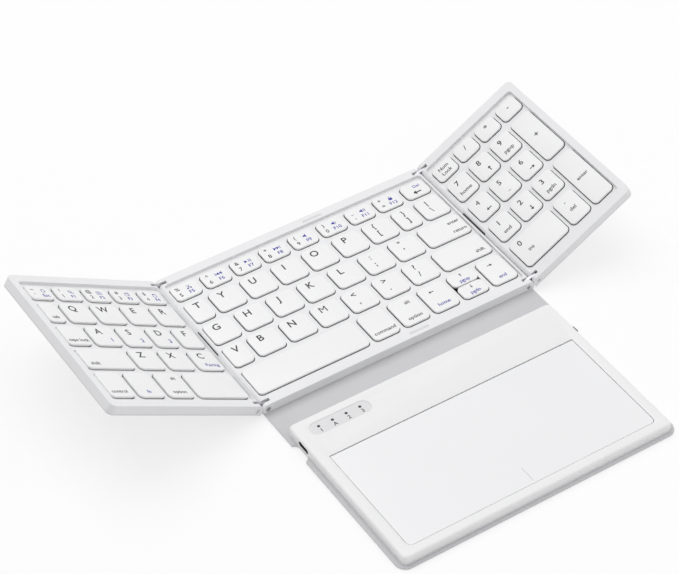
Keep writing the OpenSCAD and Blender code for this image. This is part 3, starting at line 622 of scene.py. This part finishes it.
def ribbon(name, pivot, start_turn, end_turn, radius, y):
    """A strip bent round a pivot between two turns, in degrees above +X."""
    turns = [start_turn + (end_turn - start_turn) * i / RIBBON_STEPS for i in range(RIBBON_STEPS + 1)]
    made = strip(name, [
        (around(pivot, turn, radius), around(pivot, turn, radius + RIBBON_THICK)) for turn in turns], y)
    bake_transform(made)


for side, way in (("left", -1), ("right", 1)):
    inner = Vector(joints[side + "_link_turn"]["pos_m"])
    outer = Vector(joints[side + "_panel_turn"]["pos_m"])
    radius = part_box("centre_frame")[1].x - abs(inner.x) + RIBBON_GAP
    y = (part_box("centre_circuit")[0].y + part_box("centre_circuit")[1].y) / 2
    # The turns of the centre's slot, of the line from pivot to pivot and back, and of the panel's slot.
    flat = 0 if way > 0 else 180
    across = math.degrees(math.atan2(outer.z - inner.z, outer.x - inner.x))
    tilt = panel_space(side).to_3x3() @ Vector((-way, 0, 0))
    mouth = math.degrees(math.atan2(tilt.z, tilt.x))
    back_across = across + 180 if across < 0 or way > 0 else across - 180
    if mouth < 0 and back_across > 0:
        mouth += 360
    lift = RIBBON_LIFT * way
    links = side + "_link_bars"
    ribbon(side + "_ribbon_inner", inner, flat, across + lift, radius, y)
    ribbon(side + "_ribbon_outer", outer, back_across - lift, mouth, radius,
           y)
    # The stretch that crosses the gap turns with the links.
    leaves = around(inner, across + lift, radius)
    lands = around(outer, back_across - lift, radius)
    over = Vector((-(lands - leaves).z, 0, (lands - leaves).x)).normalized() * way
    shares = [i / BRIDGE_STEPS for i in range(BRIDGE_STEPS + 1)]
    bowed = [leaves.lerp(lands, share) + over * BRIDGE_RISE * math.sin(math.pi * share)
             for share in shares]
    bridge = strip(side + "_ribbon_bridge", [(near, near + over * RIBBON_THICK) for near in bowed],
                   y, links)


# ---- Cover ----
# One sheet of coated fabric is bonded under the centre and the touchpad, and is free in between,
# where it folds at two lines. Its edges are heat-sealed and rounded.

# Embossed polyurethane on fabric: its pebbles break up the light on the wide strip.
coated_cover = finish("embossed_polyurethane", "#cfcfd1", "#c8c8ca", (0.52, 0.68), 0.55, 0.035)

cover_low, cover_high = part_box("cover_front")
cover_back_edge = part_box("cover_back")[1].y
fold_a = joints["spine_fold"]["pos_m"][1]
fold_b = joints["touchpad_fold"]["pos_m"][1]
COVER_CORNER = 6.2 * MM
COVER_EDGE = 0.35 * MM
# A notch bares the port on the left, and another the switch on the right.
NOTCH_LENGTH = 13 * MM
# The sealed edge at the front and at the back is pressed to this share of the thickness.
SEALED_SHARE = 0.5


def cover_side(way, y, notch_y, notch_x):
    """Where the cover's edge runs at a depth y, on the left (-1) or right (1)."""
    half = cover_high.x
    ahead = y - cover_low.y
    if ahead < COVER_CORNER:
        half -= COVER_CORNER - math.sqrt(max(COVER_CORNER ** 2 - (COVER_CORNER - ahead) ** 2, 0))
    deep = cover_high.x - notch_x
    beside = NOTCH_LENGTH / 2 - abs(y - notch_y)
    if beside > 0:
        share = min(beside / deep, 1)
        half = min(half, cover_high.x - deep * math.sin(share * math.pi / 2))
    return way * half


def cover_sheet(name, stations, nodes):
    """A stretch of the cover through the given depths, in place of the given CAD nodes."""
    notches = [(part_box("usb_port"), -1), (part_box("power_switch_knob"), 1)]
    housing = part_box("touchpad_housing")[1].x
    mesh = bmesh.new()
    rings = []
    for y in stations:
        edges = []
        for (low, high), way in notches:
            edges.append(cover_side(way, y, (low.y + high.y) / 2, housing))
        top, bottom = cover_high.z, cover_low.z
        thin = SEALED_SHARE if y in (cover_low.y, cover_back_edge) else 1
        middle, half = (top + bottom) / 2, (top - bottom) / 2 * thin
        ring = []
        for way, x in ((1, edges[1]), (-1, edges[0])):
            for turn in (-90, -45, 0, 45, 90):
                angle = math.radians(turn) * way
                ring.append(Vector((
                    x - way * COVER_EDGE * (1 - math.cos(angle)), y,
                    middle + math.sin(angle) * half)))
        rings.append(ring)
    stack(mesh, rings)
    bmesh.ops.recalc_face_normals(mesh, faces=mesh.faces)
    made = piece(name, mesh, coated_cover, crease=50)
    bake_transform(made)
    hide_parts(*nodes)


def steps_between(a, b, count):
    """The starts of equal steps from a to b."""
    return [a + (b - a) * i / count for i in range(count)]


# The cover bends this far to each side of a fold line.
FOLD_SPAN = 2.2 * MM
FLAT_STEPS = 24
FOLD_STEPS = 20
SPINE_STEPS = 8
# The stretch beside the notches needs fine steps to follow their curves.
NOTCHED_STEPS = 190
CORNER_STEPS = 24
middle_of_spine = (fold_a + fold_b) / 2
back_stations = (
    steps_between(cover_back_edge, fold_a + FOLD_SPAN, FLAT_STEPS)
    + steps_between(fold_a + FOLD_SPAN, fold_a - FOLD_SPAN, FOLD_STEPS)
    + steps_between(fold_a - FOLD_SPAN, middle_of_spine, SPINE_STEPS) + [middle_of_spine])
front_stations = (
    steps_between(middle_of_spine, fold_b + FOLD_SPAN, SPINE_STEPS)
    + steps_between(fold_b + FOLD_SPAN, fold_b - FOLD_SPAN, FOLD_STEPS)
    + steps_between(fold_b - FOLD_SPAN, cover_low.y + COVER_CORNER, NOTCHED_STEPS)
    + steps_between(cover_low.y + COVER_CORNER, cover_low.y, CORNER_STEPS) + [cover_low.y])
cover_sheet("cover_sheet_back", back_stations,
            ("cover_back", "cover_spine"))
cover_sheet("cover_sheet_front", front_stations,
            ("cover_front",))


# ---- Feet and bumpers ----
# Thin strips of clear-grey silicone rubber are glued on and stop the cover from sliding. Two longer
# ones in the centre's rims keep the folded side panels from touching it.

# Moulded silicone stays matt beside the satin shell.
foot_rubber = finish("grey_moulded_silicone", "#dcdcde", "#d3d3d5", (0.7, 0.85), 0.25, 0.01,
                     patch_mm=4)
# The bumpers' silicone is whiter, to match the rims that they sit in.
bumper_rubber = finish("white_moulded_silicone", "#e2e2e4", "#dadadc", (0.65, 0.8), 0.25, 0.01,
                       patch_mm=4)
for node, rubber in (
        ("back_feet", foot_rubber), ("front_feet", foot_rubber), ("rim_bumpers", bumper_rubber)):
    wear(node, rubber)
    soften(node, 0.08)


# ---- Touchpad housing ----
# A flat white ABS moulding with a soft radius round its top, bonded to the cover. It has openings
# for the pad, the window, the charging port and the switch.

# ABS from a finer mould than the key shells' is whiter and a little smoother.
fine_housing = finish("fine_moulded_abs", "#f1f1f1", "#eeeeee", (0.36, 0.48), 0.2, 0.008,
                      patch_mm=40)

HOUSING_EDGE = 1.5 * MM
HOUSING_EDGE_STEPS = 6
HOUSING_CORNER = 3 * MM
HOUSING_WALL = 1.5 * MM
# Openings in the side walls: width, height and corner radius.
PORT_OPENING = (9 * MM, 3.3 * MM, 1.6 * MM)
SWITCH_SLOT = (6 * MM, 1.4 * MM, 0.2 * MM)
SWITCH_RECESS = (11 * MM, 2.6 * MM, 0.8 * MM)
RECESS_DEPTH = 0.6 * MM
WINDOW_GAP = 0.05 * MM
GLASS_GAP = 0.3 * MM
GLASS_FRONT_CORNER = 2.8 * MM
GLASS_BACK_CORNER = 0.3 * MM
# A cutter stands out of the housing's top and bottom by this much.
CUT_PAST = 1 * MM
low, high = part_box("touchpad_housing")


def cutter(name, rings):
    """A closed solid through rings of points, for cutting with."""
    mesh = bmesh.new()
    stack(mesh, rings)
    bmesh.ops.recalc_face_normals(mesh, faces=mesh.faces)
    data = bpy.data.meshes.new(name)
    mesh.to_mesh(data)
    mesh.free()
    made = bpy.data.objects.new(name, data)
    bpy.context.scene.collection.objects.link(made)
    return made


def prism(name, ring, z0, z1):
    """An upright cutter with a given outline."""
    return cutter(name, [[Vector((x, y, z)) for x, y in ring] for z in (z0, z1)])


def side_prism(name, middle, opening, x0, x1):
    """A cutter along X for an opening of a given width, height and corner radius."""
    width, height, radius = opening
    ring = outline((-width / 2, -height / 2), (width / 2, height / 2), radius)
    return cutter(name, [[Vector((x, middle.y + a, middle.z + b)) for a, b in ring] for x in (x0, x1)])


def grown(node, margin):
    """The corners of a CAD node's box, moved out by a margin on its four sides."""
    a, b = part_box(node)
    return a - Vector((margin, margin, 0)), b + Vector((margin, margin, 0))


# Edges of a cut above the first angle are rounded, and those above the second stay sharp to the
# eye, in degrees.
CUT_ANGLE, CREASE_ANGLE = 50, 35


def carve(thing, cutters, edge_mm):
    """Cuts the cutters out of a piece, rounds the new edges and keeps the result as its mesh."""
    for tool in cutters:
        cut = thing.modifiers.new("cut", "BOOLEAN")
        cut.object = tool
        cut.solver = "EXACT"
    edge = thing.modifiers.new("edge", "BEVEL")
    edge.width = edge_mm * MM
    edge.segments = 2
    edge.limit_method = "ANGLE"
    edge.angle_limit = math.radians(CUT_ANGLE)
    bpy.context.view_layer.update()
    made = bpy.data.meshes.new_from_object(thing.evaluated_get(bpy.context.evaluated_depsgraph_get()))
    thing.modifiers.clear()
    thing.data = made
    made.set_sharp_from_angle(angle=math.radians(CREASE_ANGLE))
    for tool in cutters:
        bpy.data.objects.remove(tool)


profile = [(0, low.z)]
for i in range(HOUSING_EDGE_STEPS + 1):
    turn = math.radians(90 * i / HOUSING_EDGE_STEPS)
    profile.append((
        HOUSING_EDGE * (1 - math.cos(turn)), high.z - HOUSING_EDGE * (1 - math.sin(turn))))
mesh = bmesh.new()
stack(mesh, [[Vector((x, y, z)) for x, y in outline(low, high, HOUSING_CORNER, inset, 10)]
             for inset, z in profile])
housing = piece("touchpad_shell", mesh, fine_housing)

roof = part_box("indicator_window")[0].z
port_low, port_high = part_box("usb_port")
knob_low, knob_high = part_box("power_switch_knob")
port_middle, knob_middle = (port_low + port_high) / 2, (knob_low + knob_high) / 2
slot_middle = knob_middle + Vector((0, joints["power_slide"]["range_m"][1] / 2, 0))
window_low, window_high = grown("indicator_window", WINDOW_GAP)
window_ring = outline(window_low, window_high, (window_high.y - window_low.y) / 2, 0, 12)
glass_low, glass_high = grown("glass_pad", GLASS_GAP)
# The gap is twice as wide along the back edge.
glass_high.y += GLASS_GAP
# The hole's back corners, which an outline starts with, are nearly sharp, and its front ones round.
sharp_ring = outline(glass_low, glass_high, GLASS_BACK_CORNER)
round_ring = outline(glass_low, glass_high, GLASS_FRONT_CORNER)
half = len(sharp_ring) // 2
glass_ring = sharp_ring[:half] + round_ring[half:]
carve(housing, [
    prism("hollow", outline(low, high, HOUSING_CORNER, HOUSING_WALL), low.z - CUT_PAST, roof),
    prism("glass_hole", glass_ring, low.z, high.z + CUT_PAST),
    prism("window_hole", window_ring, low.z, high.z + CUT_PAST),
    side_prism("port_hole", port_middle, PORT_OPENING,
               low.x - HOUSING_WALL, low.x + 2 * HOUSING_WALL),
    side_prism("switch_slot", slot_middle, SWITCH_SLOT,
               high.x - 2 * HOUSING_WALL, high.x + HOUSING_WALL),
    side_prism("switch_recess", slot_middle, SWITCH_RECESS,
               high.x - RECESS_DEPTH, high.x + HOUSING_WALL),
], 0.12)
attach(housing, "touchpad_panel")
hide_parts("touchpad_housing")


# ---- Glass pad ----
# A sheet of etched glass, white behind, lies just below the housing. A short line at its front
# parts its two buttons.

# Etched glass is smoother than the shell, so it catches a broad soft reflection.
etched_glass = finish("etched_glass", "#f3f3f4", "#f0f0f1", (0.2, 0.27), 0.15, 0.001, patch_mm=60)
wear("glass_pad", etched_glass)
soften("glass_pad", 0.12)

# Screen-printed ink is pale here, so the line only just shows.
pale_print = finish("pale_screen_print", "#bdbdc0", "#b2b2b5", (0.3, 0.4), 0.3, 0.001, patch_mm=4)
LINE_LENGTH = 10 * MM
LINE_WIDTH = 0.25 * MM
LINE_FRONT = 1.5 * MM
LINE_CORNER = 0.1 * MM
LINE_HEIGHT = 0.01 * MM
low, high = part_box("glass_pad")
mesh = bmesh.new()
line_low = (-LINE_WIDTH / 2, low.y + LINE_FRONT)
line_high = (LINE_WIDTH / 2, low.y + LINE_FRONT + LINE_LENGTH)
stack(mesh, [[Vector((x, y, high.z + z)) for x, y in outline(line_low, line_high, LINE_CORNER, 0, 3)]
             for z in (0, LINE_HEIGHT)])
piece("pad_button_line", mesh, pale_print, "pad_plate")


# ---- Indicator window ----
# A grey moulded pill of plastic, pressed into the housing, with four black lamps in it. A small
# mark is printed in front of each.

# Moulded polycarbonate, grey and translucent, has a soft, even sheen.
window_plastic = finish("grey_polycarbonate", "#e3e3e4", "#dcdcdd", (0.3, 0.4), 0.3, 0.003,
                        patch_mm=6)
# Cast epoxy is smooth, and black until the lamp in it is lit.
lamp_black = finish("black_cast_epoxy", "#141416", "#0d0d0e", (0.2, 0.3), 0.3, 0.001, patch_mm=2)
wear("indicator_window", window_plastic)
wear("indicator_leds", lamp_black)
soften("indicator_window", 0.1)

low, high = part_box("indicator_leds")
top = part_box("indicator_window")[1].z
mesh = bmesh.new()
lamp_radius = (high.y - low.y) / 2
LAMP_MARKS = "1A23"
LAMP_MARK_MM = 2.3
# From the lamps' front to the marks' base line.
LAMP_MARK_AHEAD = 3.3 * MM
lamp_pitch = (high.x - low.x - 2 * lamp_radius) / (len(LAMP_MARKS) - 1)
for i, text in enumerate(LAMP_MARKS):
    mark = glyphs(text, LAMP_MARK_MM)
    x = low.x + lamp_radius + i * lamp_pitch
    mark.transform(Matrix.Translation((x, low.y - LAMP_MARK_AHEAD, top + INK_HEIGHT / 2)))
    mesh.from_mesh(mark)
piece("lamp_marks", mesh, dark_ink, "touchpad_panel", crease=30)


# ---- Charging port and power switch ----
# The port is a drawn steel shell with its tongue inside, and the switch a small black knob that
# slides in a recess of the side wall.

# Drawn steel is bright at the port's lip.
drawn_steel = finish("drawn_steel", "#b4b4b7", "#a2a2a5", (0.22, 0.34), 0.2, 0.003, patch_mm=3,
                     metallic=1)
# Matt moulded ABS in black keeps the knob readable against the white wall.
knob_black = finish("matt_black_abs", "#1b1b1d", "#131315", (0.5, 0.62), 0.2, 0.01, patch_mm=2)
wear("usb_port", drawn_steel)
wear("power_switch_knob", knob_black)
soften("power_switch_knob", 0.2, 3)


# ---- Pieces sealed inside the touchpad panel ----
# The lower shell, two boards, the battery pouch and two switches, fixed inside the housing. They
# show only through its narrow gaps.

# Solder mask, a cured lacquer, is dark green and glossy.
solder_mask = finish("green_solder_mask", "#1d4a30", "#173c27", (0.25, 0.35), 0.5, 0.004, patch_mm=5)
# Crinkled aluminium foil breaks its reflections into facets.
pouch_foil = finish("crinkled_aluminium_foil", "#a7a8ab", "#8f9093", (0.25, 0.45), 3, 0.08,
                    metallic=1)
wear("touchpad_base", textured_abs)
wear("sensor_board", solder_mask)
wear("controller_board", solder_mask)
wear("battery", pouch_foil)
wear("click_switch", drawn_steel)
wear("power_switch_body", knob_black)


# ---- Floor and light ----
# A pale floor, a wide soft light above and behind, a weaker one at the front right, and an even
# sky, so that the shadows are soft and fall towards the camera.

# Matt paper gives the shadows a plain, soft ground.
floor_paper = finish("pale_floor_paper", "#fdfdfd", "#fbfbfb", (0.8, 0.9), 2, 0.01, patch_mm=400)
# The camera, and what mirrors the paper, see it as burnt out to white with part of its shadows left.
SHADOW_SHARE = 0.3
FLOOR_REACH = 3
LIGHT_AIM = (0, -0.05, 0)


def seen(tree):
    """A socket that is 1 where the camera sees a thing, straight or in another, and otherwise 0."""
    rays = add(tree, "ShaderNodeLightPath").outputs
    mirrored = add(tree, "ShaderNodeMath", {
        0: rays["Is Glossy Ray"], 1: rays["Is Transmission Ray"]}, operation="MAXIMUM")
    return add(tree, "ShaderNodeMath", {
        0: rays["Is Camera Ray"], 1: mirrored.outputs[0]}, operation="MAXIMUM").outputs[0]


tree = floor_paper.node_tree
burnt = add(tree, "ShaderNodeEmission", {"Color": linear("#ffffff"), "Strength": 1.0})
share = add(tree, "ShaderNodeMath", {0: seen(tree), 1: 1 - SHADOW_SHARE}, operation="MULTIPLY")
both = add(tree, "ShaderNodeMixShader", {
    0: share.outputs[0], 1: tree.nodes["Principled BSDF"].outputs[0], 2: burnt.outputs[0]})
tree.links.new(both.outputs[0], tree.nodes["Material Output"].inputs["Surface"])

mesh = bmesh.new()
bmesh.ops.create_grid(mesh, x_segments=4, y_segments=4, size=FLOOR_REACH)
for vertex in mesh.verts:
    vertex.co.z = cad_low.z
piece("floor", mesh, floor_paper)


def soft_light(name, place, size, power):
    """A square area light that faces the object."""
    data = bpy.data.lights.new(name, "AREA")
    data.size = size
    data.energy = power
    made = bpy.data.objects.new(name, data)
    bpy.context.scene.collection.objects.link(made)
    made.location = place
    made.rotation_mode = "QUATERNION"
    made.rotation_quaternion = (Vector(place) - Vector(LIGHT_AIM)).to_track_quat("Z", "Y")


soft_light("key_light", place=(-0.1, 0.8, 2.05), size=2, power=25)
soft_light("fill_light", place=(1.1, -0.9, 1.2), size=1.6, power=6)

# The sky lights the object at about half of white, and shows as white where it is seen or mirrored.
SKY_LIGHT = 0.52
sky = bpy.data.worlds.new("sky")
sky.use_nodes = True
tree = sky.node_tree
strength = add(tree, "ShaderNodeMapRange", {"Value": seen(tree), "To Min": SKY_LIGHT, "To Max": 1.0})
tree.nodes["Background"].inputs["Color"].default_value = linear("#fafafb")
tree.links.new(strength.outputs[0], tree.nodes["Background"].inputs["Strength"])
bpy.context.scene.world = sky
bpy.context.scene.view_settings.view_transform = "Standard"
